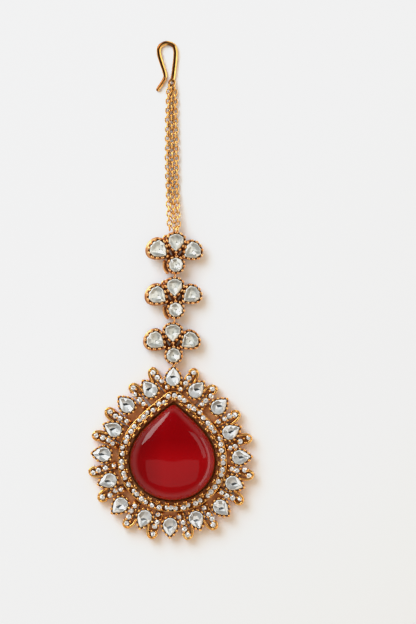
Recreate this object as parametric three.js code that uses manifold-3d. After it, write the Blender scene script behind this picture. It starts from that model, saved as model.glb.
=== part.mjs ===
// A maang tikka lying face up: a hair hook, a three-strand chain, three flower units and a
// pear-shaped pendant round a domed red stone. Millimetres, +X right, +Y to the hook, +Z up.
import * as THREE from "three";
import { mergeVertices } from "three/addons/utils/BufferGeometryUtils.js";
import Module from "manifold-3d";

const wasm = await Module();
wasm.setup();

// Places along the jewel, from the middle of its length and width
const PENDANT_AT = { x: 0.28, y: -39.9, turn: -1.2 };
const FLOWERS = [
  { name: "flower_1", x: 0.9, y: 8.93, lift: 1.2, turn: -2.2, roll: 10 },
  { name: "flower_2", x: 0.73, y: -1.46, lift: 0.95, turn: 1, roll: 8 },
  { name: "flower_3", x: 0.48, y: -12, lift: 0.6, turn: 0, roll: 3 },
];

// Drop outlines: half the width, height of its widest place, depth of the round end and reach
// of the tip from there, how far the flank runs on before it turns in (flank) and how full it
// stays near the tip (shoulder)
const CABOCHON = { half: 9.85, widest: 0, round: 9, tip: 13.5, flank: 5.6, shoulder: [5.4, 9] };
const PEAR = {
  half: 1.55, widest: -0.45, round: 1.55, tip: 2.45, flank: 0.75, shoulder: [0.75, 1.75],
};
const PETAL = {
  half: 1.88, widest: -0.58, round: 1.35, tip: 2.65, flank: 0.75, shoulder: [1.0, 1.8],
};
const ROUND = { half: 1.5, widest: 0, round: 1.5, tip: 1.5, flank: 0.828, shoulder: [0.828, 1.5] };

// Heights above the surface that the jewel lies on
const PLATE_TOP = 1.2;
const RING_TOP = 2.3;
const BEZEL_TOP = 3.1;
const WIRE_TOP = 2.6;
const LEAF_TOP = 2.2;
const STRAP_TOP = 2.5;
const WEB_TOP = 1.5;
const COLLET = { floor: 1.7, rim: 3.0, wall: 0.57, stoneBase: 1.95, girdle: 2.6, table: 3.4 };
const PETAL_COLLET = { floor: 1.5, rim: 2.6, wall: 0.56, stoneBase: 1.75, girdle: 2.3, table: 3 };
const ROUND_COLLET = { ...PETAL_COLLET, wall: 0.57 };
const FLOWER_PLATE_TOP = 0.9;
const DOME = { base: 1.45, girdle: 2.3, top: 7.1, apex: 1.8, full: 0.68 };

// Pendant rows, as distances out from the domed stone's edge
const STONE_GAP = 0.25;
const STONE_SIDES = 8;
const BEZEL_AT = 0.8;
const BEZEL_BAR = [1.05, 0.6];
const BEZEL_BARS = 33;
const PAVE_AT = 1.92;
const PAVE_STONES = 52;
const WIRE = [2.52, 2.82];
const PEAR_AT = 6.05;
const PEARS = 16;
// How far each pear stands out from their row, anticlockwise from the top, and the row's shift
const PEAR_OUT = [0, -0.1, 0.7, -0.4, 0.3, -0.35, 0.4, -0.35, 0.2, -0.35, 0.4, -0.35, 0.3, -0.45, 0.8, 0];
const ROW_SHIFT = -0.2;
const PENDANT_END = CABOCHON.tip + PEAR_AT + 2.6;
const PAVE = { girdle: 0.6, table: 0.34, height: 0.45 };
const SMALL_PAVE = { girdle: 0.53, table: 0.3, height: 0.45 };

// Leaf between two pears: u runs out from the row of pears, v to the odd-numbered one
const LEAF_STONES = [
  { u: -2.0, v: -0.25, cut: SMALL_PAVE },
  { u: -0.6, v: 0.0, cut: PAVE },
  { u: 0.9, v: 0.05, cut: PAVE },
  { u: 2.4, v: 0.5, cut: PAVE },
];
const LEAF_HALF = 0.72;
const STRAP_ROUTE = [
  { u: 1.9, v: -0.5 },
  { u: 2.95, v: -0.15 },
  { u: 3.25, v: 0.6 },
  { u: 2.8, v: 1.35 },
  { u: 1.6, v: 1.75 },
  { u: 0.1, v: 1.75 },
];
const STRAP_HALF = 0.24;

// Scallops of a collet's beaded rim
const SCALLOP = 0.07;
const PEAR_SCALLOPS = 8;
const PETAL_SCALLOPS = 9;
const ROUND_SCALLOPS = 8;

// Flower unit: petals round a hub, and slits either side of the upper petal's tip
const PETALS = [
  { name: "top", x: -0.18, y: 1.95, out: 90 },
  { name: "left", x: -4.15, y: 0, out: 144 },
  { name: "right", x: 3.75, y: 0, out: 36 },
];
const FLOWER_ROUND = { x: 0, y: -3.35 };
const FLOWER_SLIT = { x: 1.17, y: -0.5, long: 1.4, wide: 0.5, lean: 32 };
const FLOWER_ENDS = { top: 4.44, bottom: -5.48 };

// Jump rings and the bars that they go round
const JUMP_RING = { radius: 0.9, wire: 0.2 };
const SEAT_HEIGHT = 1.0;
const PENDANT_SEAT_HEIGHT = 1.3;
const SEAT = { wide: 1.2, deep: 1.35, above: 1.35, bar: 0.3, inset: 0.02 };
const CHEEKS = { wide: 2.1, deep: 1.3, top: 2.6 };

// Chain of three strands lying side by side, as one solid
const CHAIN = { strand: 0.58, apart: 0.86, steps: 14, top: { x: 0.1, y: 46.7 }, gap: 1.35 };
const CHAIN_SPREAD = { top: 0.75, bottom: 1.1 };
const CHAIN_RISE_FROM = 0.72;

// Hair hook: the middle of its wire, from the tip round the bend to the eye
const HOOK_WIRE = 0.525;
const HOOK_ROUTE = [
  [-3.1, 46.3], [-2.1, 47.8], [-1.4, 49.15], [-1.6, 50.5], [-2.25, 52.5], [-2.8, 54.5],
  [-2.83, 55.8], [-2.25, 56.6], [-1.18, 57.05], [-0.12, 56.9], [0.67, 56.35], [0.98, 55.2],
  [0.98, 53.8], [0.77, 51.6], [0.49, 49.4], [0.3, 48.6],
];
const HOOK_EYE = { x: 0.16, y: 47.85, z: 0.9, radius: 0.62, wire: 0.27, tilt: 0 };

const GOLD = { color: 0xc4823c, roughness: 0.32, metalness: 1 };
const COPPER_GOLD = { color: 0xb8743a, roughness: 0.36, metalness: 1 };
const CLEAR = { color: 0xe6e4dc, roughness: 0.12, metalness: 0 };
const CLOUDY = { color: 0xd8d6c8, roughness: 0.2, metalness: 0 };
const RED = { color: 0x8c000c, roughness: 0.06, metalness: 0 };

const radians = THREE.MathUtils.degToRad;

// A drop outline moved outward by an offset, anticlockwise from its tip at +Y, with a round
// join at the tip. The right half mirrors the left.
class DropCurve extends THREE.Curve {
  constructor(drop, offset = 0) {
    super();
    this.drop = drop;
    this.offset = offset;
    this.arcLengthDivisions = 400;
    this.flank = new THREE.CubicBezierCurve(
      new THREE.Vector2(0, drop.tip),
      new THREE.Vector2(-drop.shoulder[0], drop.shoulder[1]),
      new THREE.Vector2(-drop.half, drop.flank),
      new THREE.Vector2(-drop.half, 0),
    );
  }

  // The point and outward normal at a share of the left half, from tip to round end
  leftHalf(share) {
    const tipShare = 0.1;
    const flankShare = 0.6;
    if (share < tipShare) {
      const upright = Math.PI / 2;
      const angle = upright + (this.flankNormal(0).angle() - upright) * (share / tipShare);
      return [new THREE.Vector2(0, this.drop.tip), unit(angle)];
    }
    if (share < flankShare) {
      const t = (share - tipShare) / (flankShare - tipShare);
      return [this.flank.getPoint(t), this.flankNormal(t)];
    }
    const angle = Math.PI * (1 + (0.5 * (share - flankShare)) / (1 - flankShare));
    const { half, round } = this.drop;
    const point = new THREE.Vector2(half * Math.cos(angle), round * Math.sin(angle));
    const normal = new THREE.Vector2(Math.cos(angle) / half, Math.sin(angle) / round);
    return [point, normal.normalize()];
  }

  flankNormal(t) {
    const along = this.flank.getTangent(t);
    return new THREE.Vector2(along.y, -along.x);
  }

  pointAndNormal(t) {
    const mirrored = t > 0.5;
    const [point, normal] = this.leftHalf(2 * (mirrored ? 1 - t : t));
    point.addScaledVector(normal, this.offset);
    point.y += this.drop.widest;
    if (mirrored) {
      point.x *= -1;
      normal.x *= -1;
    }
    return [point, normal];
  }

  getPoint(t) {
    return this.pointAndNormal(t)[0];
  }

  // The matrix of a place at a share of the length, with its own +Y pointing outward
  placeAt(share) {
    const [point, normal] = this.pointAndNormal(this.getUtoTmapping(share));
    const turn = Math.atan2(normal.y, normal.x) - Math.PI / 2;
    return new THREE.Matrix4().makeRotationZ(turn).setPosition(point.x, point.y, 0);
  }

  ring(count) {
    return this.getSpacedPoints(count).slice(0, count);
  }
}

function unit(angle) {
  return new THREE.Vector2(Math.cos(angle), Math.sin(angle));
}

function toSolid(geometry) {
  const bare = new THREE.BufferGeometry();
  bare.setAttribute("position", geometry.getAttribute("position"));
  if (geometry.index) bare.setIndex(geometry.index);
  const merged = mergeVertices(bare, 1e-4);
  const mesh = new wasm.Mesh({
    numProp: 3,
    vertProperties: new Float32Array(merged.attributes.position.array),
    triVerts: new Uint32Array(merged.index.array),
  });
  return new wasm.Manifold(mesh);
}

function toGeometry(solid) {
  const { vertProperties, triVerts } = solid.getMesh();
  const geometry = new THREE.BufferGeometry();
  geometry.setAttribute("position", new THREE.BufferAttribute(vertProperties, 3));
  geometry.setIndex(new THREE.BufferAttribute(triVerts, 1));
  geometry.computeVertexNormals();
  return geometry;
}

function join(geometries) {
  return geometries.map(toSolid).reduce((whole, piece) => whole.add(piece));
}

// An upright wall or plate with the given outline, and holes in it
function prism(outline, low, high, holes = []) {
  const shape = new THREE.Shape(outline);
  for (const hole of holes) shape.holes.push(new THREE.Path(hole));
  const options = { depth: high - low, bevelEnabled: false };
  return new THREE.ExtrudeGeometry(shape, options).translate(0, 0, low);
}

function box(x, y, z, wide, deep, high) {
  return new THREE.BoxGeometry(wide, deep, high).translate(x, y, z);
}

// The outline of a strip of even width along a curve, with blunt round ends
function ribbon(curve, halfWidth, count) {
  const left = [];
  const right = [];
  for (let i = 0; i <= count; i++) {
    const point = curve.getPoint(i / count);
    const along = curve.getTangent(i / count);
    const side = new THREE.Vector2(-along.y, along.x).multiplyScalar(halfWidth);
    left.push(point.clone().add(side));
    right.unshift(point.clone().sub(side));
  }
  const start = curve.getPoint(0).addScaledVector(curve.getTangent(0), -halfWidth);
  const end = curve.getPoint(1).addScaledVector(curve.getTangent(1), halfWidth);
  return [...left, end, ...right, start];
}

// A drop outline whose edge goes in and out once for each bead of the rim
function scalloped(drop, offset, beads) {
  const curve = new DropCurve(drop, offset);
  const points = [];
  for (let i = 0; i < 2 * beads; i++) {
    const [point, normal] = curve.pointAndNormal(curve.getUtoTmapping(i / (2 * beads)));
    points.push(point.addScaledVector(normal, i % 2 ? -SCALLOP : SCALLOP));
  }
  return points;
}

// A turned profile of [share of the outline, height] pairs, stretched to a drop outline
function dropTurned(drop, profile, sides, middle = 0) {
  const outline = new DropCurve(drop);
  const points = profile.map(([share, height]) => new THREE.Vector2(share, height));
  const geometry = new THREE.LatheGeometry(points, sides);
  const position = geometry.getAttribute("position");
  const uv = geometry.getAttribute("uv");
  for (let i = 0; i < position.count; i++) {
    const share = Math.hypot(position.getX(i), position.getZ(i));
    const height = position.getY(i);
    const edge = outline.getPointAt(uv.getX(i));
    position.setXYZ(i, edge.x * share, middle + (edge.y - middle) * share, height);
  }
  return geometry;
}

function cutStone(drop, levels, sides) {
  const profile = [
    [0, levels.stoneBase],
    [0.7, levels.stoneBase],
    [1, levels.girdle],
    [0.62, levels.table],
    [0, levels.table],
  ];
  return dropTurned(drop, profile, sides);
}

function paveStone(cut, seat) {
  const sunk = 0.1;
  const high = cut.height + sunk;
  const stone = new THREE.CylinderGeometry(cut.table, cut.girdle, high, 8).rotateX(Math.PI / 2);
  return stone.translate(0, 0, seat - sunk + high / 2);
}

// A collet's wall and floor, and the pocket that its stone sits in
function collet(drop, levels, beads) {
  const wall = prism(scalloped(drop, levels.wall, beads), 0, levels.rim);
  const pocketEdge = new DropCurve(drop, STONE_GAP).ring(10);
  const pocket = prism(pocketEdge, levels.floor, levels.rim + 1);
  return { wall, pocket };
}

function place(pieces, matrix) {
  for (const piece of Object.values(pieces)) piece.applyMatrix4(matrix);
  return pieces;
}

// The slot that a jump ring swings in and the bar across it, at an end that faces a way
function ringSeat(endY, facing, height) {
  const { wide, deep, above, bar, inset } = SEAT;
  const top = height + above;
  const slot = box(0, endY - facing * (deep / 2 - 0.3), top / 2 - 0.5, wide, deep + 0.6, top + 1);
  const across = box(0, endY - facing * (inset + bar / 2), height, wide + 0.6, bar, bar);
  return { slot, across };
}

function named(name, geometry, look) {
  const mesh = new THREE.Mesh(geometry, new THREE.MeshStandardMaterial(look));
  mesh.name = name;
  return mesh;
}

function flowerSetting(seats) {
  const collets = PETALS.map(({ x, y, out }) =>
    place(
      collet(PETAL, PETAL_COLLET, PETAL_SCALLOPS),
      new THREE.Matrix4().makeRotationZ(radians(out + 90)).setPosition(x, y, 0),
    ),
  );
  const { x, y } = FLOWER_ROUND;
  const round = collet(ROUND, ROUND_COLLET, ROUND_SCALLOPS);
  collets.push(place(round, new THREE.Matrix4().makeTranslation(x, y, 0)));
  const hub = new DropCurve({ ...ROUND, half: 3, round: 2.6, tip: 2 }).ring(12);
  const plate = prism(hub, 0, FLOWER_PLATE_TOP);
  let setting = join([...collets.map(({ wall }) => wall), plate]);
  for (const { pocket } of collets) setting = setting.subtract(toSolid(pocket));
  for (const side of [-1, 1]) {
    const slit = box(0, 0, 1, FLOWER_SLIT.wide, FLOWER_SLIT.long, 6);
    slit.rotateZ(radians(-side * FLOWER_SLIT.lean));
    slit.translate(side * FLOWER_SLIT.x, FLOWER_SLIT.y, 0);
    setting = setting.subtract(toSolid(slit));
  }
  return seated(setting, seats);
}

function seated(setting, seats) {
  let cut = setting;
  for (const { slot, across } of seats) {
    cut = cut.subtract(toSolid(slot)).add(toSolid(across));
  }
  return cut;
}

function flower({ name, x, y, lift, turn, roll }) {
  const group = new THREE.Group();
  const seats = [
    ringSeat(FLOWER_ENDS.top, 1, SEAT_HEIGHT),
    ringSeat(FLOWER_ENDS.bottom, -1, SEAT_HEIGHT),
  ];
  group.add(named(name + "_setting", toGeometry(flowerSetting(seats)), COPPER_GOLD));
  for (const petal of PETALS) {
    const stone = named(name + "_stone_" + petal.name, cutStone(PETAL, PETAL_COLLET, STONE_SIDES), CLOUDY);
    stone.position.set(petal.x, petal.y, 0);
    stone.rotation.z = radians(petal.out + 90);
    group.add(stone);
  }
  const round = named(name + "_stone_round", cutStone(ROUND, ROUND_COLLET, STONE_SIDES), CLOUDY);
  round.position.set(FLOWER_ROUND.x, FLOWER_ROUND.y, 0);
  group.add(round);
  group.position.set(x, y, lift);
  group.rotation.set(0, radians(roll), radians(turn));
  return group;
}

// Cup, bezel bars, pavé row and edge wire round the domed stone
function pendantRing() {
  const edge = 32;
  const pieces = [
    prism(new DropCurve(CABOCHON, (WIRE[0] + WIRE[1]) / 2).ring(edge), 0, RING_TOP),
    prism(new DropCurve(CABOCHON, WIRE[1]).ring(edge), RING_TOP - 0.2, WIRE_TOP, [
      new DropCurve(CABOCHON, WIRE[0]).ring(edge),
    ]),
  ];
  const bezel = new DropCurve(CABOCHON, BEZEL_AT);
  for (let i = 0; i < BEZEL_BARS; i++) {
    const low = RING_TOP - 0.2;
    const bar = box(0, 0, (low + BEZEL_TOP) / 2, ...BEZEL_BAR, BEZEL_TOP - low);
    pieces.push(bar.applyMatrix4(bezel.placeAt(i / BEZEL_BARS)));
  }
  const row = new DropCurve(CABOCHON, PAVE_AT);
  for (let i = 0; i < PAVE_STONES; i++) {
    pieces.push(paveStone(PAVE, RING_TOP).applyMatrix4(row.placeAt(i / PAVE_STONES)));
  }
  const pocket = prism(new DropCurve(CABOCHON, STONE_GAP).ring(edge), PLATE_TOP, 9);
  return { pieces, pocket };
}

// A place on the row of pears, counted in pears anticlockwise from the top
function rowPlace(index) {
  const at = new DropCurve(CABOCHON, PEAR_AT).placeAt(index / PEARS);
  return new THREE.Matrix4().makeTranslation(ROW_SHIFT, 0, 0).multiply(at);
}

function pearPlace(index) {
  return rowPlace(index).multiply(new THREE.Matrix4().makeTranslation(0, PEAR_OUT[index], 0));
}

// One leaf: a curved band of four stones, and a strap that curls back to the odd pear
function leaf(side) {
  const at = ({ u, v }) => new THREE.Vector2(side * v, u);
  const band = new THREE.SplineCurve(LEAF_STONES.map(at));
  const strap = new THREE.SplineCurve(STRAP_ROUTE.map(at));
  return [
    prism(ribbon(band, LEAF_HALF, 3), 0, LEAF_TOP),
    prism(ribbon(strap, STRAP_HALF, 5), 0, STRAP_TOP),
    ...LEAF_STONES.map((stone) => {
      const { x, y } = at(stone);
      return paveStone(stone.cut, LEAF_TOP).translate(x, y, 0);
    }),
  ];
}

function pendantSetting() {
  const { pieces, pocket } = pendantRing();
  const pockets = [pocket];
  for (let i = 0; i < PEARS; i++) {
    const at = pearPlace(i);
    const cup = place(collet(PEAR, COLLET, PEAR_SCALLOPS), at);
    pieces.push(cup.wall);
    pockets.push(cup.pocket);
    pieces.push(box(0, -3, WEB_TOP / 2, 1.5, 2.6, WEB_TOP).applyMatrix4(at));
    const between = rowPlace(i + 0.5);
    const side = i % 2 ? 1 : -1;
    for (const piece of leaf(side)) pieces.push(piece.applyMatrix4(between));
  }
  const { wide, deep, top } = CHEEKS;
  pieces.push(box(0, PENDANT_END - deep / 2, top / 2, wide, deep, top));
  let setting = join(pieces);
  for (const hollow of pockets) setting = setting.subtract(toSolid(hollow));
  return seated(setting, [ringSeat(PENDANT_END, 1, PENDANT_SEAT_HEIGHT)]);
}

function dome() {
  const profile = [
    [0, DOME.base],
    [0.97, DOME.base],
    [1, DOME.girdle],
  ];
  const steps = 6;
  for (let i = 1; i <= steps; i++) {
    const angle = (i / steps) * (Math.PI / 2);
    const share = i < steps ? Math.pow(Math.cos(angle), DOME.full) : 0;
    const height = Math.pow(Math.sin(angle), DOME.full);
    profile.push([share, DOME.girdle + (DOME.top - DOME.girdle) * height]);
  }
  return dropTurned(CABOCHON, profile, 30, DOME.apex);
}

function pendant() {
  const group = new THREE.Group();
  group.add(named("pendant_setting", toGeometry(pendantSetting()), GOLD));
  group.add(named("cabochon", dome(), RED));
  for (let i = 0; i < PEARS; i++) {
    const name = "pear_stone_" + String(i + 1).padStart(2, "0");
    const stone = named(name, cutStone(PEAR, COLLET, STONE_SIDES), CLEAR);
    stone.applyMatrix4(pearPlace(i));
    group.add(stone);
  }
  group.position.set(PENDANT_AT.x, PENDANT_AT.y, 0);
  group.rotation.z = radians(PENDANT_AT.turn);
  return group;
}

// A jump ring standing on edge, so that it goes round a bar of each of its neighbours
function jumpRing(name, at) {
  const torus = new THREE.TorusGeometry(JUMP_RING.radius, JUMP_RING.wire, 6, 12);
  const ring = named(name, torus.rotateY(Math.PI / 2), COPPER_GOLD);
  ring.position.copy(at);
  return ring;
}

// The end of a flower unit, as a place in the jewel's frame
function flowerEnd(group, end) {
  group.updateMatrixWorld(true);
  return new THREE.Vector3(0, FLOWER_ENDS[end], SEAT_HEIGHT).applyMatrix4(group.matrixWorld);
}

function pendantTop() {
  const { x, y, turn } = PENDANT_AT;
  const end = new THREE.Vector3(0, PENDANT_END, PENDANT_SEAT_HEIGHT);
  return end.applyAxisAngle(new THREE.Vector3(0, 0, 1), radians(turn)).add({ x, y, z: 0 });
}

// Three strands side by side as one solid, which spreads and rises towards the first flower
function chain(end) {
  const { strand, apart, steps, top, gap } = CHAIN;
  const turns = [-50, 10, 70, 130];
  const lobe = (at, angle) => unit(radians(angle)).multiplyScalar(strand).add({ x: at, y: 0 });
  const upper = [
    ...turns.map((turn) => lobe(apart, turn)).slice(1),
    ...[55, 125].map((turn) => lobe(0, turn)),
    ...turns.map((turn) => lobe(-apart, turn + 40)).slice(0, 3),
  ];
  const lower = upper.map(({ x, y }) => new THREE.Vector2(-x, -y));
  const long = top.y - end.y - gap;
  const section = new THREE.Shape([...upper, ...lower]);
  const solid = new THREE.ExtrudeGeometry(section, { depth: long, steps, bevelEnabled: false });
  const position = solid.getAttribute("position");
  for (let i = 0; i < position.count; i++) {
    const share = position.getZ(i) / long;
    const spread = THREE.MathUtils.lerp(CHAIN_SPREAD.top, CHAIN_SPREAD.bottom, share);
    const middle = THREE.MathUtils.lerp(top.x, end.x, Math.pow(share, 3));
    const rise = (end.z - strand) * THREE.MathUtils.smoothstep(share, CHAIN_RISE_FROM, 1);
    const x = middle + position.getX(i) * spread;
    position.setXYZ(i, x, top.y - share * long, strand + rise + position.getY(i));
  }
  return named("chain", solid, GOLD);
}

// Round wire along a route, with flat ends
function wire(points, radius, sides, steps) {
  const path = new THREE.CatmullRomCurve3(points);
  const section = new THREE.Shape();
  section.absellipse(0, 0, radius, radius, 0, 2 * Math.PI);
  const outline = new THREE.Shape(section.getSpacedPoints(sides).slice(0, sides));
  return new THREE.ExtrudeGeometry(outline, { extrudePath: path, steps });
}

function hook() {
  const points = HOOK_ROUTE.map(([x, y]) => new THREE.Vector3(x, y, HOOK_WIRE));
  const eye = new THREE.TorusGeometry(HOOK_EYE.radius, HOOK_EYE.wire, 6, 12);
  eye.rotateX(radians(HOOK_EYE.tilt)).translate(HOOK_EYE.x, HOOK_EYE.y, HOOK_EYE.z);
  const solid = join([wire(points, HOOK_WIRE, 8, 24), eye]);
  return named("hook", toGeometry(solid), GOLD);
}

const jewel = new THREE.Group();
const units = FLOWERS.map(flower);
jewel.add(...units, pendant());

// Jump rings, each midway between the ends that it joins
const rings = [flowerEnd(units[0], "top")];
for (const i of [0, 1]) {
  rings.push(flowerEnd(units[i], "bottom").lerp(flowerEnd(units[i + 1], "top"), 0.5));
}
rings.push(flowerEnd(units[2], "bottom").lerp(pendantTop(), 0.5));
rings.forEach((at, i) => jewel.add(jumpRing("jump_ring_" + (i + 1), at)));
jewel.add(chain(rings[0]), hook());

// The origin is the middle of the jewel's length and width, on the surface it lies on
const bounds = new THREE.Box3().setFromObject(jewel, true);
jewel.position.set(...bounds.getCenter(new THREE.Vector3()).negate().setZ(-bounds.min.z));

export default jewel;
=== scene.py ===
"""A maang tikka lying face up on a pale floor: gold-toned metal, set stones and a red dome."""
import math
import random

import bmesh
import bpy
import numpy as np
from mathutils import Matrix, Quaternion, Vector
from mathutils.geometry import delaunay_2d_cdt


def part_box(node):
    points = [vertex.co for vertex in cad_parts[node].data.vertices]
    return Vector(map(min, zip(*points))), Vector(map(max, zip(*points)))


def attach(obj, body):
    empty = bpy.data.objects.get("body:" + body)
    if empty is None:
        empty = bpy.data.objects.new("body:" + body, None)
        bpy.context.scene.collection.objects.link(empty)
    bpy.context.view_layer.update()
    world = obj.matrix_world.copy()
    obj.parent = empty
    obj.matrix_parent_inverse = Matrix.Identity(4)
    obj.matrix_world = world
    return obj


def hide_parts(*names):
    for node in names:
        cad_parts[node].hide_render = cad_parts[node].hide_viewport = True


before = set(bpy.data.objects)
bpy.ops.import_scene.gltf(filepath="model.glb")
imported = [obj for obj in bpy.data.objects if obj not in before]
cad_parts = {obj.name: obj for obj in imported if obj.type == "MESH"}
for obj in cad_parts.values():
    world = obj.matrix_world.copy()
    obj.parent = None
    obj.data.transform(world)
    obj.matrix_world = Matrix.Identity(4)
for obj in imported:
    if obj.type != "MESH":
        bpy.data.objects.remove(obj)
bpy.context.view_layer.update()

# Millimetres throughout, turned into metres as each mesh is made
MM = 0.001

# Places along the jewel, as in the solids
PENDANT_AT = {"x": 0.28, "y": -39.9, "turn": -1.2}
FLOWERS = [
    {"name": "flower_1", "x": 0.9, "y": 8.93, "lift": 1.2, "turn": -2.2, "roll": 10},
    {"name": "flower_2", "x": 0.73, "y": -1.46, "lift": 0.95, "turn": 1, "roll": 8},
    {"name": "flower_3", "x": 0.48, "y": -12.0, "lift": 0.6, "turn": 0, "roll": 3},
]

# Drop outlines: half width, height of the widest place, round end and tip from there, flank
# and shoulder of the curve to the tip
CABOCHON = {"half": 9.85, "widest": 0, "round": 9, "tip": 13.5, "flank": 5.6, "shoulder": (5.4, 9)}
PEAR = {
    "half": 1.55, "widest": -0.45, "round": 1.55, "tip": 2.45, "flank": 0.75,
    "shoulder": (0.75, 1.75),
}
PETAL = {
    "half": 1.88, "widest": -0.58, "round": 1.35, "tip": 2.65, "flank": 0.75,
    "shoulder": (1.0, 1.8),
}
ROUND = {
    "half": 1.5, "widest": 0, "round": 1.5, "tip": 1.5, "flank": 0.828,
    "shoulder": (0.828, 1.5),
}

# Rows of the pendant, as distances out from the red stone's edge
BEZEL_AT = 0.8
BEZEL_BAR = {"long": 1.1, "wide": 0.62, "high": 1.5, "middle": 2.35}
BEZEL_BARS = 33
PAVE_AT = 1.92
PAVE_STONES = 52
PEAR_AT = 6.05
PEARS = 16
# How far each pear stands out from their row, anticlockwise from the top, and the row's shift
PEAR_OUT = [0, -0.1, 0.7, -0.4, 0.3, -0.35, 0.4, -0.35, 0.2, -0.35, 0.4, -0.35, 0.3, -0.45, 0.8, 0]
ROW_SHIFT = -0.2
PENDANT_END = CABOCHON["tip"] + PEAR_AT + 2.6
PLATE_TOP = 1.2
RING_TOP = 2.3
LEAF_TOP = 2.2
# Web between a pear's collet and the rows: half sizes and distance in from the pear
WEB = {"half": (2.1, 1.45, 0.3), "in": 3}
# Half sizes of the small beads beside the pavé stones, and where their two rows run
ROW_BEAD = (0.27, 0.27, 0.32)
ROW_BEADS_AT = (PAVE_AT - 0.5, PAVE_AT + 0.48)
LEAF_BEAD = (0.28, 0.28, 0.36)
LEAF_BEADS_ACROSS = (-0.52, 0.52)
# Pavé stone: table and crown edge as shares of its radius, crown height, and how far it may lean
PAVE = {"table": 0.24, "crown": 0.72, "height": 0.27, "lean": 14}

# Leaf between two pears: u runs out from the row of pears, v to the odd-numbered one
LEAF_STONES = [(-2.0, -0.25, 0.53), (-0.6, 0.0, 0.6), (0.9, 0.05, 0.62), (2.4, 0.5, 0.62)]
STRAP_ROUTE = [(1.9, -0.5), (2.95, -0.15), (3.25, 0.6), (2.8, 1.35), (1.6, 1.75), (0.1, 1.75)]
LEAF_HALF = 0.72
STRAP = {"half": 0.29, "top": 2.5, "ease": 0.2, "floor": 1.0}

# Flower unit
PETALS = [
    {"name": "top", "x": -0.18, "y": 1.87, "out": 90, "size": 0.92, "foot": 0.14},
    {"name": "left", "x": -4.15, "y": 0, "out": 144, "size": 1, "foot": 0.34},
    {"name": "right", "x": 3.7, "y": 0, "out": 36, "size": 0.97, "foot": 0.14},
]
FLOWER_ROUND = (0, -3.35)
FLOWER_ENDS = {"top": 4.44, "bottom": -5.48}
FLOWER_PLATE_TOP = 0.9
FLOWER_SLIT = {"x": 1.17, "y": -0.5, "long": 1.4, "wide": 0.5, "lean": 32}
FLOWER_HUB = {
    "half": 3, "widest": 0, "round": 2.6, "tip": 2, "flank": 0.828, "shoulder": (0.828, 1.5),
}
# Bare metal that shows at the left of the two upper flowers: a bracket bent round the lowest
# stone, as radius, first and last angle, and a small loop beside the upper petal
BRACKET = {"radius": 2.55, "from": 163, "to": 228, "half": 0.34, "z": 0.5}
EAR = {"x": -2.35, "y": 2.75, "radius": 0.55, "half": 0.26, "z": 0.7}

# Collets: floor and rim heights, wall beyond the stone, girdle and table of the stone, half sizes
# of a bead, where the first bead lies, the foot's reach past the wall and the stone's past its
# outline
PEAR_COLLET = {
    "floor": 1.7, "rim": 3.0, "wall": 0.57, "girdle": 2.5, "table": 3.4,
    "bead": (0.32, 0.25, 0.32), "first_bead": 0, "foot": 0, "edge": 0.15,
}
PETAL_COLLET = {
    "floor": 1.5, "rim": 2.6, "wall": 0.56, "girdle": 2.1, "table": 3.0,
    "bead": (0.37, 0.26, 0.32), "first_bead": 0, "foot": 0.14, "edge": 0.17,
}
ROUND_COLLET = {**PETAL_COLLET, "wall": 0.57}
# Small flat facets in the middle of a stone, coloured dark as a painted reflection, lying across the
# jewel whatever way the stone points
PEAR_WINDOW = [(-0.8, 0.2), (-0.45, -0.34), (0.78, -0.04), (0.1, 0.3)]
PETAL_WINDOW = [(-0.3, 0.1), (-0.1, -0.2), (0.32, 0.05)]

# Broad facets of a hand-cut stone: how many, how near its middle and how high they start, as shares
FACETS = {"count": 7, "near": (0.46, 0.62), "rise": (0.76, 0.88), "edge_rise": 0.36}
STEEP = 0.78
PEAR_SIDES, PETAL_SIDES, ROUND_SIDES = 11, 9, 9
PEAR_BEADS, PETAL_BEADS, ROUND_BEADS = 12, 12, 11

# Finishes of one piece of metal: polished, painted shade in the recesses, and its plain outer sides
POLISHED, PAINTED_SHADE, SIDE = 0, 1, 2

SEAT_HEIGHT = 1.0
PENDANT_SEAT_HEIGHT = 1.3
JUMP_RING = {"radius": 0.9, "wire": 0.2}

# Chain strands: offset across and start of each, and the cable link
STRANDS = [(-0.9, 0.0), (0.0, 0.5), (0.9, 0.22)]
CHAIN_TOP = (0.1, 46.9)
CHAIN_SPREAD = (0.72, 1.1)
CHAIN_RISE_FROM = 0.72
LINK = {"pitch": 1.09, "wide": 1.38, "wire": 0.17}

HOOK_WIRE = 0.525
HOOK_ROUTE = [
    (-3.1, 46.3), (-2.1, 47.8), (-1.4, 49.15), (-1.6, 50.5), (-2.25, 52.5), (-2.8, 54.5),
    (-2.83, 55.8), (-2.25, 56.6), (-1.18, 57.05), (-0.12, 56.9), (0.67, 56.35), (0.98, 55.2),
    (0.98, 53.8), (0.77, 51.6), (0.49, 49.4), (0.3, 48.6),
]
HOOK_EYE = {"x": 0.16, "y": 47.85, "z": 0.9, "radius": 0.62, "wire": 0.27}

# Red dome: heights, the apex's place lengthwise, how full its sides are, and how many times its
# outline's corners are worn round at the edge and by the top
DOME = {"base": 1.45, "girdle": 2.3, "top": 7.1, "apex": 1.8, "full": 0.68, "worn": (8, 268)}

# Points round the pendant's rows, a collet and the dome
RING_STEPS, COLLET_STEPS, DOME_STEPS = 200, 72, 160


def unit(angle):
    return np.array([math.cos(angle), math.sin(angle)])


def bezier(p, t):
    a, b, c, d = (np.array(q, float) for q in p)
    s = 1 - t
    point = s**3 * a + 3 * s * s * t * b + 3 * s * t * t * c + t**3 * d
    along = 3 * s * s * (b - a) + 6 * s * t * (c - b) + 3 * t * t * (d - c)
    return point, along / np.linalg.norm(along)


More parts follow.
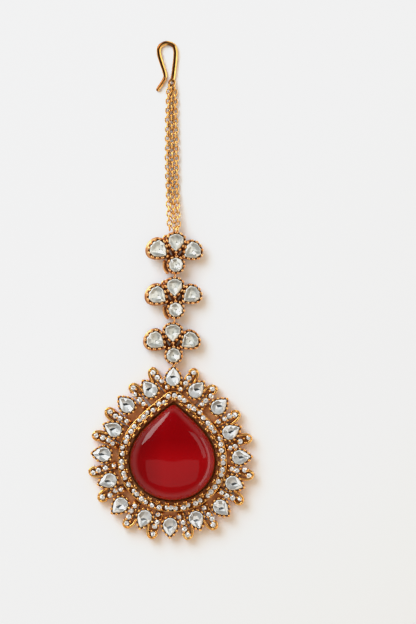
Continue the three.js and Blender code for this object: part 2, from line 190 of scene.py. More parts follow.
def drop_half(drop, share):
    """Point and outward normal on the left half, from the tip to the round end."""
    flank = [
        (0, drop["tip"]),
        (-drop["shoulder"][0], drop["shoulder"][1]),
        (-drop["half"], drop["flank"]),
        (-drop["half"], 0),
    ]
    if share < 0.1:
        _, along = bezier(flank, 0)
        last = math.atan2(-along[0], along[1])
        angle = math.pi / 2 + (last - math.pi / 2) * share / 0.1
        return np.array([0.0, drop["tip"]]), unit(angle)
    if share < 0.6:
        point, along = bezier(flank, (share - 0.1) / 0.5)
        return point, np.array([along[1], -along[0]])
    angle = math.pi * (1 + 0.5 * (share - 0.6) / 0.4)
    point = np.array([drop["half"] * math.cos(angle), drop["round"] * math.sin(angle)])
    normal = np.array([math.cos(angle) / drop["half"], math.sin(angle) / drop["round"]])
    return point, normal / np.linalg.norm(normal)


def sized(drop, size):
    """A drop outline made smaller or larger as a whole."""
    lengths = {key: value * size for key, value in drop.items() if key != "shoulder"}
    return {**lengths, "shoulder": tuple(value * size for value in drop["shoulder"])}


def drop_curve(drop, offset, count, start=0.0):
    """Evenly spaced points and normals on a drop outline moved outward, anticlockwise."""
    samples = 600
    points, normals = [], []
    for i in range(samples + 1):
        t = i / samples
        point, normal = drop_half(drop, 2 * min(t, 1 - t))
        point = point + normal * offset
        if t > 0.5:
            point = point * (-1, 1)
            normal = normal * (-1, 1)
        points.append(point + (0, drop["widest"]))
        normals.append(normal)
    points, normals = np.array(points), np.array(normals)
    steps = np.linalg.norm(np.diff(points, axis=0), axis=1)
    along = np.concatenate([[0], np.cumsum(steps)])
    wanted = ((np.arange(count) + start) / count % 1.0) * along[-1]
    at = np.stack([np.interp(wanted, along, points[:, k]) for k in (0, 1)], axis=1)
    out = np.stack([np.interp(wanted, along, normals[:, k]) for k in (0, 1)], axis=1)
    return at, out / np.linalg.norm(out, axis=1)[:, None]


def spline(points, count):
    """A smooth open curve through points, as a Catmull-Rom curve."""
    p = np.array(points, float)
    p = np.vstack([2 * p[0] - p[1], p, 2 * p[-1] - p[-2]])
    spans = len(p) - 3
    out = []
    for i in range(count):
        t = i / (count - 1) * spans
        k = min(int(t), spans - 1)
        f = t - k
        a, b, c, d = p[k : k + 4]
        out.append(
            0.5 * (2 * b + (c - a) * f + (2 * a - 5 * b + 4 * c - d) * f**2
                   + (3 * b - a - 3 * c + d) * f**3)
        )
    return np.array(out)


def turn_z(degrees):
    a = math.radians(degrees)
    m = np.eye(4)
    m[:2, :2] = [[math.cos(a), -math.sin(a)], [math.sin(a), math.cos(a)]]
    return m


def turn_y(degrees):
    a = math.radians(degrees)
    m = np.eye(4)
    m[0, 0] = m[2, 2] = math.cos(a)
    m[0, 2] = math.sin(a)
    m[2, 0] = -math.sin(a)
    return m


def move(x, y, z=0.0):
    m = np.eye(4)
    m[:3, 3] = (x, y, z)
    return m


def place_at(point, normal):
    """The matrix of a place on an outline, with its own +Y pointing outward."""
    return move(*point) @ turn_z(math.degrees(math.atan2(normal[1], normal[0])) - 90)


def own_outline_centre():
    points, _ = drop_curve(CABOCHON, 0, 400)
    turned = (turn_z(PENDANT_AT["turn"])[:2, :2] @ points.T).T
    middle = (turned.min(axis=0) + turned.max(axis=0)) / 2
    return middle + (PENDANT_AT["x"], PENDANT_AT["y"])


def frame_shift():
    """How far the layout above moves to lie on the frame's own origin."""
    low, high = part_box("cabochon")
    box_middle = np.array([(low[k] + high[k]) / 2 / MM for k in (0, 1)])
    return box_middle - own_outline_centre()


SHIFT = move(*frame_shift())
PENDANT = SHIFT @ move(PENDANT_AT["x"], PENDANT_AT["y"]) @ turn_z(PENDANT_AT["turn"])


def flower_matrix(flower):
    at = move(flower["x"], flower["y"], flower["lift"])
    return SHIFT @ at @ turn_y(flower["roll"]) @ turn_z(flower["turn"])


class Solid:
    """Points and faces gathered into one Blender object."""

    def __init__(self):
        self.points = []
        self.faces = []
        self.looks = []
        self.smooth = []
        self.count = 0

    def add(self, points, faces, at=None, look=0, smooth=True):
        points = np.asarray(points, float)
        if at is not None:
            points = points @ at[:3, :3].T + at[:3, 3]
        self.points.append(points)
        self.faces += [tuple(i + self.count for i in f) for f in faces]
        self.looks += [look] * len(faces) if isinstance(look, int) else list(look)
        self.smooth += [smooth] * len(faces)
        self.count += len(points)

    def make(self, name, at, materials):
        points = np.vstack(self.points)
        points = (points @ at[:3, :3].T + at[:3, 3]) * MM
        mesh = bpy.data.meshes.new(name)
        mesh.from_pydata(points.tolist(), [], self.faces)
        for material in materials:
            mesh.materials.append(material)
        mesh.polygons.foreach_set("material_index", self.looks)
        mesh.polygons.foreach_set("use_smooth", self.smooth)
        mesh.update()
        obj = bpy.data.objects.new(name, mesh)
        bpy.context.scene.collection.objects.link(obj)
        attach(obj, "root")
        return obj


def grid_faces(rows, columns, closed_rows, closed_columns):
    faces = []
    for i in range(rows if closed_rows else rows - 1):
        for j in range(columns if closed_columns else columns - 1):
            a = i * columns + j
            b = i * columns + (j + 1) % columns
            c = (i + 1) % rows * columns + (j + 1) % columns
            d = (i + 1) % rows * columns + j
            faces.append((a, b, c, d))
    return faces


def swept(drop, profile, count, closed=True):
    """A wall round a drop outline: profile holds (offset, height) pairs, outside first."""
    rows = []
    for offset, height in profile:
        points, _ = drop_curve(drop, offset, count)
        rows.append(np.column_stack([points, np.full(count, height)]))
    return np.vstack(rows), grid_faces(len(rows), count, closed, True)


def filled(drop, offset, height, count, up=True):
    points, _ = drop_curve(drop, offset, count)
    ring = np.column_stack([points, np.full(count, height)])
    face = tuple(range(count))
    return ring, [face if up else face[::-1]]


def pierced_plate(outline, holes, low, high):
    """A flat plate with holes through it."""
    loops = [np.asarray(loop, float) for loop in (outline, *holes)]
    starts = np.cumsum([0] + [len(loop) for loop in loops])
    flat = np.vstack(loops)
    edges = []
    for start, loop in zip(starts, loops):
        edges += [(start + k, start + (k + 1) % len(loop)) for k in range(len(loop))]
    edges = [(int(a), int(b)) for a, b in edges]
    made = delaunay_2d_cdt([Vector(p) for p in flat], edges, [], 0, 1e-6)
    count = len(made[0])
    kept = []
    for face in made[2]:
        centre = np.mean([made[0][i] for i in face], axis=0)
        if inside(centre, loops[0]) and not any(inside(centre, hole) for hole in loops[1:]):
            kept.append(tuple(face))
    points = [(*p, high) for p in made[0]] + [(*p, low) for p in made[0]]
    faces = kept + [tuple(i + count for i in reversed(f)) for f in kept]
    borders = {(a, b) for f in kept for a, b in zip(f, f[1:] + f[:1])}
    faces += [(a, a + count, b + count, b) for a, b in borders if (b, a) not in borders]
    return points, faces


def inside(point, loop):
    """Whether a flat point lies within a closed outline."""
    x, y = point
    after = np.roll(loop, -1, axis=0)
    crossing = (loop[:, 1] > y) != (after[:, 1] > y)
    rise = np.where(crossing, after[:, 1] - loop[:, 1], 1)
    at = loop[:, 0] + (y - loop[:, 1]) / rise * (after[:, 0] - loop[:, 0])
    return bool(np.sum(crossing & (at > x)) % 2)


def globe(radii, power=1.0, columns=12, rows=8):
    """A ball, or with a lower power a block with rounded edges."""
    def shaped(value):
        return math.copysign(abs(value) ** power, value)

    points = [(0, 0, -radii[2])]
    for i in range(1, rows):
        tilt = -math.pi / 2 + math.pi * i / rows
        for j in range(columns):
            turn = 2 * math.pi * j / columns
            points.append((
                radii[0] * shaped(math.cos(tilt)) * shaped(math.cos(turn)),
                radii[1] * shaped(math.cos(tilt)) * shaped(math.sin(turn)),
                radii[2] * shaped(math.sin(tilt)),
            ))
    points.append((0, 0, radii[2]))
    faces = [(0, 1 + (j + 1) % columns, 1 + j) for j in range(columns)]
    faces += [tuple(k + 1 for k in f) for f in grid_faces(rows - 1, columns, False, True)]
    last = len(points) - 1
    top = last - columns
    faces += [(last, top + j, top + (j + 1) % columns) for j in range(columns)]
    return points, faces


def frames_along(path, closed):
    count = len(path)
    if closed:
        along = np.roll(path, -1, axis=0) - np.roll(path, 1, axis=0)
    else:
        along = np.gradient(path, axis=0)
    along = along / np.linalg.norm(along, axis=1)[:, None]
    side = np.zeros((count, 3))
    start = np.array([0.0, 0.0, 1.0])
    if abs(along[0] @ start) > 0.9:
        start = np.array([1.0, 0.0, 0.0])
    for i in range(count):
        last = side[i - 1] if i else start
        across = last - along[i] * (last @ along[i])
        side[i] = across / np.linalg.norm(across)
    return along, side


def tube(path, radius, sides, closed=False, flat=(1.0, 1.0)):
    """Round or flattened wire along a path, with rounded ends where it is open."""
    path = np.asarray(path, float)
    radius = np.broadcast_to(np.asarray(radius, float), (len(path),))
    along, up = frames_along(path, closed)
    rows = []

    def row(point, i, size):
        across = np.cross(along[i], up[i])
        return [
            point + size * (flat[0] * math.cos(a) * across + flat[1] * math.sin(a) * up[i])
            for a in (2 * math.pi * k / sides for k in range(sides))
        ]

    for i, point in enumerate(path):
        rows.append(row(point, i, radius[i]))
    if closed:
        return np.vstack(rows), grid_faces(len(rows), sides, True, True)
    for tilt in (0.5, 1.0, 1.4):
        reach, size = math.sin(tilt), math.cos(tilt)
        rows.insert(0, row(path[0] - along[0] * radius[0] * reach, 0, radius[0] * size))
        rows.append(row(path[-1] + along[-1] * radius[-1] * reach, -1, radius[-1] * size))
    points = np.vstack(rows)
    faces = grid_faces(len(rows), sides, False, True)
    faces.append(tuple(range(sides))[::-1])
    faces.append(tuple(len(points) - sides + k for k in range(sides)))
    return points, faces


def strip(path, profile):
    """A strip with a given (across, height) section along a flat path, closed at both ends."""
    path = np.asarray(path, float)
    along = np.gradient(path, axis=0)
    along = along / np.linalg.norm(along, axis=1)[:, None]
    across = np.column_stack([-along[:, 1], along[:, 0]])
    rows = []
    for point, side in zip(path, across):
        rows.append([(*(point + side * a), height) for a, height in profile])
    count = len(profile)
    points = np.vstack(rows)
    faces = grid_faces(len(rows), count, False, True)
    faces.append(tuple(range(count))[::-1])
    faces.append(tuple(len(points) - count + k for k in range(count)))
    return points, faces


def strip_looks(path, profile):
    """Plain sides and painted shade on the flat top of a strip, with its rounded edges polished."""
    columns = len(profile)
    row = [POLISHED] * columns
    row[0] = row[columns - 2] = SIDE
    row[columns // 2 - 1] = PAINTED_SHADE
    return row * (len(path) - 1) + [SIDE, SIDE]


def round_top(half, low, high, ease):
    """A section with rounded upper edges."""
    turns = [0, 30, 60, 90]
    right = [
        (half - ease + ease * math.cos(math.radians(t)), high - ease + ease * math.sin(math.radians(t)))
        for t in turns
    ]
    left = [(-a, b) for a, b in reversed(right)]
    return [(half, low), *right, *left, (-half, low)]


def brilliant(radius, low, seat, table):
    """A round brilliant: eight-sided table, star and kite facets, sixteen-sided girdle."""
    points = []
    crown = (2 * table + seat) / 3
    rings = [(PAVE["table"], table, 8, 0.0), (PAVE["crown"], crown, 8, 0.5), (1.0, seat, 16, 0.0)]
    for share, height, count, shift in rings:
        for k in range(count):
            angle = 2 * math.pi * (k + shift) / count
            points.append((radius * share * math.cos(angle), radius * share * math.sin(angle), height))
    points.append((0, 0, low))
    faces = [tuple(range(8))]
    for k in range(8):
        after = (k + 1) % 8
        faces.append((k, 8 + k, after))
        girdle = 16 + 2 * k
        faces.append((k, 8 + (k - 1) % 8, girdle, 8 + k))
        faces.append((8 + k, girdle, girdle + 1))
        faces.append((8 + k, girdle + 1, 16 + (2 * k + 2) % 16))
        for g in (girdle, girdle + 1):
            faces.append((32, 16 + (g - 16 + 1) % 16, g))
    return points, faces


def add_brilliant(solid, radius, low, seat, at, draw):
    """A small stone, set a little out of level as every hand-set one is."""
    gem = brilliant(radius, low, seat, seat + PAVE["height"])
    lean = turn_y(draw.uniform(-PAVE["lean"], PAVE["lean"])) @ turn_z(draw.uniform(0, 360))
    # The table facet takes the second material, dark grey as a painted reflection
    looks = [1] + [0] * (len(gem[1]) - 1)
    solid.add(*gem, at @ turn_z(draw.uniform(0, 360)) @ lean, looks, False)


def stone_points(drop, collet, seed, sides, window, bearing):
    """Points of a hand-cut flat stone: a steep edge, broad uneven facets, and its window last."""
    draw = random.Random(seed)
    points = []
    span = collet["table"] - collet["girdle"]
    edge_at, girdle = collet["edge"], collet["girdle"]
    rings = [
        (edge_at - 0.04, collet["floor"] + 0.1),
        (edge_at, girdle),
        (-0.06, girdle + FACETS["edge_rise"] * span),
    ]
    for offset, height in rings:
        edge, _ = drop_curve(drop, offset, sides)
        points += [(x, y, height) for x, y in edge]
    edge, _ = drop_curve(drop, 0, FACETS["count"], draw.random())
    for x, y in edge:
        near = draw.uniform(*FACETS["near"])
        points.append((x * near, y * near, girdle + span * draw.uniform(*FACETS["rise"])))
    turn = math.radians(bearing)
    for x, y in window:
        u = x * math.cos(turn) - y * math.sin(turn)
        v = x * math.sin(turn) + y * math.cos(turn)
        points.append((u, v, collet["table"]))
    return {"points": points, "window": len(window)}


def stone_object(name, stone, at, materials):
    """The closed hull of a stone's points, with its body, window and steep edge told apart."""
    mesh = bmesh.new()
    made = [mesh.verts.new((at[:3, :3] @ np.array(p) + at[:3, 3]) * MM) for p in stone["points"]]
    flat = set(made[-stone["window"] :])
    bmesh.ops.convex_hull(mesh, input=made)
    loose = [v for v in mesh.verts if not v.link_faces]
    bmesh.ops.delete(mesh, geom=loose, context="VERTS")
    mesh.normal_update()
    # Window facets take the second material, dark grey as a painted reflection
    for face in mesh.faces:
        steep = face.normal.z < STEEP
        face.material_index = 1 if all(v in flat for v in face.verts) else 2 * steep
    data = bpy.data.meshes.new(name)
    mesh.to_mesh(data)
    mesh.free()
    for material in materials:
        data.materials.append(material)
    obj = bpy.data.objects.new(name, data)
    bpy.context.scene.collection.objects.link(obj)
    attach(obj, "root")
    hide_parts(name)
    return obj


def add_collet(solid, drop, collet, at, beads):
    """A box collet: upright wall, floor and inner wall in painted shade, and a rim of gold beads round
    the stone.
    """
    wall, floor, rim, foot = (collet[k] for k in ("wall", "floor", "rim", "foot"))
    side = wall - 0.05
    profile = [
        (side + foot - 0.04, 0.0), (side + foot, 0.05), (side + foot, 0.35), (side + foot - 0.05, 0.42),
        (side, 0.45), (side, rim - 0.68), (side - 0.08, rim - 0.58), (0.32, rim - 0.58),
        (0.24, rim - 0.68), (0.2, floor), (0.2, 0.0),
    ]
    points, faces = swept(drop, profile, COLLET_STEPS)
    # The wall's inner faces and the floor under the stone are coloured as painted shade
    plain = 5 * COLLET_STEPS
    solid.add(points, faces, at, [SIDE] * plain + [PAINTED_SHADE] * (len(faces) - plain))
    solid.add(*filled(drop, 0.22, floor, 40), at, PAINTED_SHADE, False)
    solid.add(*filled(drop, 0.22, 0.02, 40, up=False), at, 0, False)
    places, normals = drop_curve(drop, wall - 0.13, beads, collet["first_bead"])
    for point, normal in zip(places, normals):
        ball = globe(collet["bead"], power=0.85, columns=12, rows=8)
        solid.add(*ball, at @ place_at(point, normal) @ move(0, 0, rim - collet["bead"][2]))


def add_pendant_ring(metal, stones):
    outer = [
        (2.77, 0.0), (2.82, 0.08), (2.82, 2.36), (2.8, 2.5), (2.74, 2.59), (2.66, 2.62), (2.58, 2.59),
        (2.53, 2.5), (2.5, 2.2), (2.44, 2.05),
    ]
    inner = [
        (1.45, 2.05), (1.4, 2.2), (1.38, 2.42), (1.33, 2.5), (1.26, 2.53), (1.19, 2.5), (1.14, 2.42),
        (1.12, 2.0), (0.36, 1.8), (0.29, 1.7), (0.28, PLATE_TOP),
    ]
    # The channel's floor, the inner drop and the plate under the dome are coloured as painted shade
    looks = [SIDE] * 2 + [POLISHED] * 6 + [PAINTED_SHADE] * 2 + [POLISHED] * 6 + [SIDE] * 2 + [PAINTED_SHADE] * 4
    points, faces = swept(CABOCHON, outer + inner, RING_STEPS, closed=False)
    metal.add(points, faces, None, [looks[k // RING_STEPS] for k in range(len(faces))])
    metal.add(*filled(CABOCHON, inner[-1][0], PLATE_TOP, RING_STEPS), None, PAINTED_SHADE)
    metal.add(*filled(CABOCHON, outer[0][0], 0.0, RING_STEPS, up=False))
    half = [BEZEL_BAR[key] / 2 for key in ("long", "wide", "high")]
    places, normals = drop_curve(CABOCHON, BEZEL_AT, BEZEL_BARS)
    for point, normal in zip(places, normals):
        bar = globe(half, power=0.62, columns=16)
        metal.add(*bar, place_at(point, normal) @ move(0, 0, BEZEL_BAR["middle"]))
    draw = random.Random(3)
    places, normals = drop_curve(CABOCHON, PAVE_AT, PAVE_STONES)
    for point, normal in zip(places, normals):
        add_brilliant(stones, 0.6, 1.7, RING_TOP + 0.16, place_at(point, normal), draw)
    for offset in ROW_BEADS_AT:
        places, _ = drop_curve(CABOCHON, offset, PAVE_STONES, 0.5)
        for point in places:
            ball = globe(ROW_BEAD, columns=10, rows=6)
            metal.add(*ball, move(*point, RING_TOP + 0.18))


def add_leaf(metal, stones, at, side, draw):
    def plan(u, v):
        return (side * v, u)

    route = spline([plan(u, v) for u, v, _ in LEAF_STONES], 15)
    ends = np.vstack([2 * route[0] - route[4], route, 2 * route[-1] - route[-4]])
    route = spline(ends, 17)
    section = round_top(LEAF_HALF, 0.0, LEAF_TOP - 0.1, 0.16)
    metal.add(*strip(route, section), at, strip_looks(route, section))
    for u, v, radius in LEAF_STONES:
        add_brilliant(stones, radius, 1.6, LEAF_TOP + 0.14, at @ move(*plan(u, v)), draw)
    middles = [(a[0] + b[0]) / 2 for a, b in zip(LEAF_STONES, LEAF_STONES[1:])]
    for u in [*middles, LEAF_STONES[0][0] - 0.55, LEAF_STONES[-1][0] + 0.6]:
        v = np.interp(u, [s[0] for s in LEAF_STONES], [s[1] for s in LEAF_STONES])
        for across in LEAF_BEADS_ACROSS:
            ball = globe(LEAF_BEAD, columns=10, rows=6)
            metal.add(*ball, at @ move(*plan(u, v + across), LEAF_TOP + 0.12))
    strap = spline([plan(u, v) for u, v in STRAP_ROUTE], 22)
    section = round_top(STRAP["half"], 0.0, STRAP["top"], STRAP["ease"])
    metal.add(*strip(strap, section), at, POLISHED)
    metal.add(*pierced_plate(strap, [], 0, STRAP["floor"]), at, SIDE, False)


def make_pendant(gold, pave, clear, red):
    metal, stones = Solid(), Solid()
    add_pendant_ring(metal, stones)
    draw = random.Random(8)
    shift = np.array([ROW_SHIFT, 0])
    places, normals = drop_curve(CABOCHON, PEAR_AT, PEARS)
    for k, (point, normal) in enumerate(zip(places, normals)):
        at = place_at(point + shift, normal) @ move(0, PEAR_OUT[k])
        add_collet(metal, PEAR, PEAR_COLLET, at, PEAR_BEADS)
        web = globe(WEB["half"], power=0.3, columns=16)
        metal.add(*web, at @ move(0, -WEB["in"], WEB["half"][2]), SIDE)
        name = "pear_stone_%02d" % (k + 1)
        facing = math.degrees(math.atan2(normal[1], normal[0])) - 90
        bearing = draw.uniform(-5, 30) - facing
        stone = stone_points(PEAR, PEAR_COLLET, 11 + k, PEAR_SIDES, PEAR_WINDOW, bearing)
        stone_object(name, stone, PENDANT @ at, clear)
    places, normals = drop_curve(CABOCHON, PEAR_AT, PEARS, 0.5)
    for k, (point, normal) in enumerate(zip(places, normals)):
        add_leaf(metal, stones, place_at(point + shift, normal), 1 if k % 2 else -1, draw)
    setting = metal.make("pendant_metal", PENDANT, gold)
    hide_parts("pendant_setting")
    field = stones.make("pendant_pave", PENDANT, pave)
    make_dome(red)


def rounded(loop, times):
    """A closed outline with its corners worn round."""
    for _ in range(times):
        loop = (np.roll(loop, 1, axis=0) + 2 * loop + np.roll(loop, -1, axis=0)) / 4
    return loop


def make_dome(red):
    solid = Solid()
    count = DOME_STEPS
    edge, _ = drop_curve(CABOCHON, 0, count)
    middle = np.array([0, DOME["apex"]])
    rows = []
    profile = [(0.955, DOME["base"]), (0.985, DOME["base"] + 0.2), (1.0, DOME["girdle"])]
    steps = 30
    for i in range(1, steps):
        angle = i / steps * math.pi / 2
        share = math.cos(angle) ** DOME["full"]
        height = DOME["girdle"] + (DOME["top"] - DOME["girdle"]) * math.sin(angle) ** DOME["full"]
        profile.append((share, height))
    least, most = DOME["worn"]
    for share, height in profile:
        soft = rounded(edge, int(least + (most - least) * (1 - share)))
        rows.append(np.column_stack([middle + (soft - middle) * share, np.full(count, height)]))
    points = np.vstack([*rows, [[*middle, DOME["top"]]]])
    faces = grid_faces(len(rows), count, False, True)
    last = len(points) - 1
    top = last - count
    faces += [(last, top + k, top + (k + 1) % count) for k in range(count)]
    faces.append(tuple(range(count))[::-1])
    solid.add(points, faces)
    dome = solid.make("cabochon_dome", PENDANT, [red])
    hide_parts("cabochon")


def make_flower(flower, copper, cloudy):
    at = flower_matrix(flower)
    metal = Solid()
    seed = int(flower["name"][-1]) * 100
    for petal in PETALS:
        there = move(petal["x"], petal["y"]) @ turn_z(petal["out"] + 90)
        drop = sized(PETAL, petal["size"])
        collet = {**PETAL_COLLET, "foot": petal["foot"]}
        add_collet(metal, drop, collet, there, PETAL_BEADS)
        seed += 1
        stone = stone_points(drop, collet, seed, PETAL_SIDES, PETAL_WINDOW, -petal["out"])
        stone_object(flower["name"] + "_stone_" + petal["name"], stone, at @ there, cloudy)
    there = move(*FLOWER_ROUND)
    add_collet(metal, ROUND, ROUND_COLLET, there, ROUND_BEADS)
    stone = stone_points(ROUND, ROUND_COLLET, seed + 1, ROUND_SIDES, PETAL_WINDOW, 20)
    stone_object(flower["name"] + "_stone_round", stone, at @ there, cloudy)
    hub, _ = drop_curve(FLOWER_HUB, 0, 48)
    slits = [slit_outline(side) for side in (-1, 1)]
    # The plate between the petals is coloured as painted shade
    metal.add(*pierced_plate(hub, slits, 0, FLOWER_PLATE_TOP), None, PAINTED_SHADE, False)
    metal.add(*globe((0.16, 0.34, 0.4), power=0.8), move(-0.08, -0.98, 1.75))
    if flower is not FLOWERS[-1]:
        add_bare_metal(metal)
    piece = metal.make(flower["name"] + "_metal", at, copper)
    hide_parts(flower["name"] + "_setting")


def add_bare_metal(metal):
    """The bracket and the small loop at a flower's left side."""
    turns = np.radians(np.linspace(BRACKET["from"], BRACKET["to"], 14))
    x = FLOWER_ROUND[0] + BRACKET["radius"] * np.cos(turns)
    y = FLOWER_ROUND[1] + BRACKET["radius"] * np.sin(turns)
    route = np.column_stack([x, y, np.full(len(turns), BRACKET["z"])])
    metal.add(*tube(route, BRACKET["half"], 10, flat=(1, 1.3)))
    turns = np.linspace(0, 2 * math.pi, 20, endpoint=False)
    loop = np.column_stack([EAR["radius"] * np.cos(turns), EAR["radius"] * np.sin(turns), 0 * turns])
    metal.add(*tube(loop, EAR["half"], 10, closed=True), move(EAR["x"], EAR["y"], EAR["z"]))


def slit_outline(side):
    """A slit beside the upper petal's tip, running along that petal's flank."""
    turn = turn_z(-side * FLOWER_SLIT["lean"])[:2, :2]
    half_wide, half_long = FLOWER_SLIT["wide"] / 2, FLOWER_SLIT["long"] / 2
    corners = [(half_wide, -half_long), (half_wide, half_long), (-half_wide, half_long)]
    corners.append((-half_wide, -half_long))
    return np.array(corners) @ turn.T + (side * FLOWER_SLIT["x"], FLOWER_SLIT["y"])


def flower_end(flower, end):
    at = flower_matrix(flower)
    return at[:3, :3] @ np.array([0, FLOWER_ENDS[end], SEAT_HEIGHT]) + at[:3, 3]


def ring_places():
    top = PENDANT[:3, :3] @ np.array([0, PENDANT_END, PENDANT_SEAT_HEIGHT]) + PENDANT[:3, 3]
    places = [flower_end(FLOWERS[0], "top")]
    for upper, lower in zip(FLOWERS, FLOWERS[1:]):
        places.append((flower_end(upper, "bottom") + flower_end(lower, "top")) / 2)
    places.append((flower_end(FLOWERS[-1], "bottom") + top) / 2)
    return places


def make_jump_rings(copper):
    turns = np.linspace(0, 2 * math.pi, 32, endpoint=False)
    radius = JUMP_RING["radius"]
    circle = np.column_stack([0 * turns, radius * np.cos(turns), radius * np.sin(turns)])
    for k, place in enumerate(ring_places()):
        solid = Solid()
        solid.add(*tube(circle, JUMP_RING["wire"], 12, closed=True))
        ring = solid.make("jump_ring_wire_%d" % (k + 1), move(*place), copper[:1])
        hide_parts("jump_ring_%d" % (k + 1))


def link_path():
    """The middle of a cable link's wire, long along Y."""
    half_wide = LINK["wide"] / 2 - LINK["wire"]
    half_long = LINK["pitch"] / 2 + LINK["wire"]
    straight = half_long - half_wide
    points = []
    for k in range(20):
        angle = 2 * math.pi * k / 20
        x, y = half_wide * math.cos(angle), half_wide * math.sin(angle)
        points.append((x, y + math.copysign(straight, y) if abs(y) > 1e-6 else y, 0))
    return np.array(points)


def make_chain(metal):
    end = ring_places()[0] - SHIFT[:3, 3]
    top = np.array(CHAIN_TOP)
    long = top[1] - end[1] - 0.55
    solid = Solid()
    link = tube(link_path(), LINK["wire"], 8, closed=True)
    count = int(long / LINK["pitch"])
    draw = random.Random(5)

    def middle(down, across):
        share = min(max(down / long, 0), 1)
        spread = CHAIN_SPREAD[0] + (CHAIN_SPREAD[1] - CHAIN_SPREAD[0]) * min(share * 3, 1)
        x = top[0] + (end[0] - 0.6 - top[0]) * share**3 + across * spread
        s = min(max((share - CHAIN_RISE_FROM) / (1 - CHAIN_RISE_FROM), 0), 1)
        rise = (end[2] - 0.67) * s * s * (3 - 2 * s)
        return np.array([x, top[1] - down, 0.7 + rise])

    for across, phase in STRANDS:
        for k in range(count + 1):
            down = (k + phase) * LINK["pitch"]
            here = middle(down, across)
            ahead = middle(down + 0.2, across) - middle(down - 0.2, across)
            ahead = ahead / np.linalg.norm(ahead)
            here = here + (draw.uniform(-0.05, 0.05), 0, draw.uniform(0, 0.08))
            roll = (0 if k % 2 else 90) + draw.uniform(-12, 12)
            up = np.array([math.sin(math.radians(roll)), 0, math.cos(math.radians(roll))])
            up = up - ahead * (up @ ahead)
            up = up / np.linalg.norm(up)
            at = np.eye(4)
            at[:3, 0] = np.cross(ahead, up)
            at[:3, 1] = ahead
            at[:3, 2] = up
            at[:3, 3] = here
            solid.add(*link, at)
    chain = solid.make("chain_links", SHIFT, [metal])
    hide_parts("chain")


def make_hook(metal):
    solid = Solid()
    path = spline([(x, y, HOOK_WIRE) for x, y in HOOK_ROUTE], 90)
    taper = np.interp(np.arange(90), [0, 18, 30, 89], [0.43, 0.47, HOOK_WIRE, HOOK_WIRE])
    solid.add(*tube(path, taper, 20))
    turns = np.linspace(0, 2 * math.pi, 28, endpoint=False)
    eye = np.column_stack([
        HOOK_EYE["radius"] * np.cos(turns), HOOK_EYE["radius"] * np.sin(turns), 0 * turns,
    ])
    at = move(HOOK_EYE["x"], HOOK_EYE["y"], HOOK_EYE["z"])
    solid.add(*tube(eye, HOOK_EYE["wire"], 12, closed=True), at)
    hook = solid.make("hook_wire", SHIFT, [metal])
    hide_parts("hook")


# Metals: colours of two tones that vary at random and of the painted shade near other metal,
# and how far off a neighbour casts that painted shade, in mm
METALS = {
    "antique_gold": {
        "bright": (1.0, 0.58, 0.19), "warm": (0.92, 0.42, 0.09), "dark": (0.14, 0.03, 0.007),
        "roughness": 0.18, "metallic": 0.94, "reach": 0.5,
    },
    # Metal coloured dark all over, as painted shade in the recesses
    "gold_painted_shade": {
        "bright": (0.34, 0.11, 0.02), "warm": (0.22, 0.055, 0.01), "dark": (0.07, 0.012, 0.003),
        "roughness": 0.4, "metallic": 0.8, "reach": 0.5,
    },
    "gold_side": {
        "bright": (0.85, 0.44, 0.2), "warm": (0.72, 0.31, 0.12), "dark": (0.45, 0.18, 0.08),
        "roughness": 0.35, "metallic": 0.55, "reach": 0.5,
    },
    "reddish_gold": {
        "bright": (1.0, 0.6, 0.25), "warm": (0.85, 0.37, 0.11), "dark": (0.12, 0.025, 0.006),
        "roughness": 0.18, "metallic": 0.94, "reach": 0.5,
    },
    # Metal coloured dark all over, as painted shade in the recesses
    "reddish_painted_shade": {
        "bright": (0.24, 0.07, 0.015), "warm": (0.14, 0.03, 0.006), "dark": (0.06, 0.01, 0.003),
        "roughness": 0.45, "metallic": 0.8, "reach": 0.5,
    },
    # Outer walls: duller metal, and coloured darker than the polished metal as painted shade
    "reddish_side": {
        "bright": (0.72, 0.36, 0.15), "warm": (0.5, 0.19, 0.06), "dark": (0.2, 0.06, 0.02),
        "roughness": 0.3, "metallic": 0.8, "reach": 0.5,
    },
    "chain_gold": {
        "bright": (1.0, 0.6, 0.2), "warm": (0.95, 0.45, 0.1), "dark": (0.14, 0.035, 0.006),
        "roughness": 0.16, "metallic": 0.78, "reach": 1.0,
    },
    "hook_gold": {
        "bright": (1.0, 0.58, 0.19), "warm": (0.92, 0.45, 0.1), "dark": (0.14, 0.03, 0.007),
        "roughness": 0.1, "metallic": 1.0, "reach": 0.5,
    },
}
# Noise scales of a metal's tint, gloss and dents, per metre
GRAIN = {"tint": 900, "gloss": 2600, "dents": 4200}

